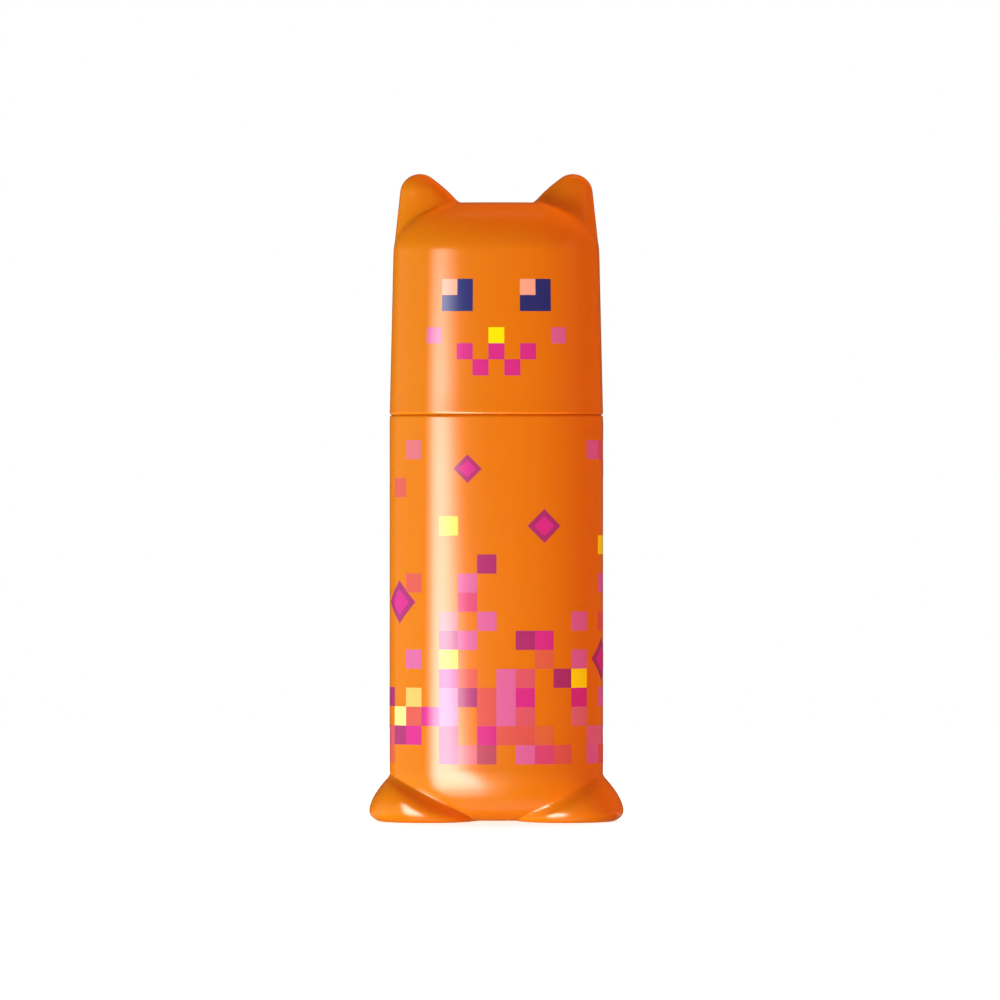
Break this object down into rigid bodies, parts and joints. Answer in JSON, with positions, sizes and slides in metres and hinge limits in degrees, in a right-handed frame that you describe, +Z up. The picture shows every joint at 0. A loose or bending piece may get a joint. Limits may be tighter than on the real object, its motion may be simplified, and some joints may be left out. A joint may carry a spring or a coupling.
{
  "type": "marker pen",
  "caption": "Stubby oval highlighter that stands on flared feet, with an eared pull-off cap over a chisel-edged felt nib.",
  "frame": {"origin": "middle of the footprint, on the surface that the pen stands on", "axes": "+Z up from the feet to the ears, +X to the right of someone who faces the pen, front towards -Y"},
  "size_m": [0.0294, 0.016, 0.075],
  "materials": {
    "orange_plastic": "glossy moulded orange",
    "natural_plastic": "satin, natural white",
    "soft_plastic": "soft satin white",
    "felt": "fluorescent orange felt",
    "inked_fibre": "wet orange fibre",
    "clear_film": "thin clear film"
  },
  "bodies": {
    "pen": {"barrel": "orange_plastic", "reservoir_core": "inked_fibre", "reservoir_film": "clear_film", "nib_holder": "natural_plastic", "nib": "felt"},
    "cap": {"cap_shell": "orange_plastic", "inner_cap": "soft_plastic"}
  },
  "joints": [
    {"name": "cap_pull", "type": "slide", "parent": "pen", "child": "cap", "axis": [0, 0, 1], "range_m": [0, 0.03]}
  ]
}
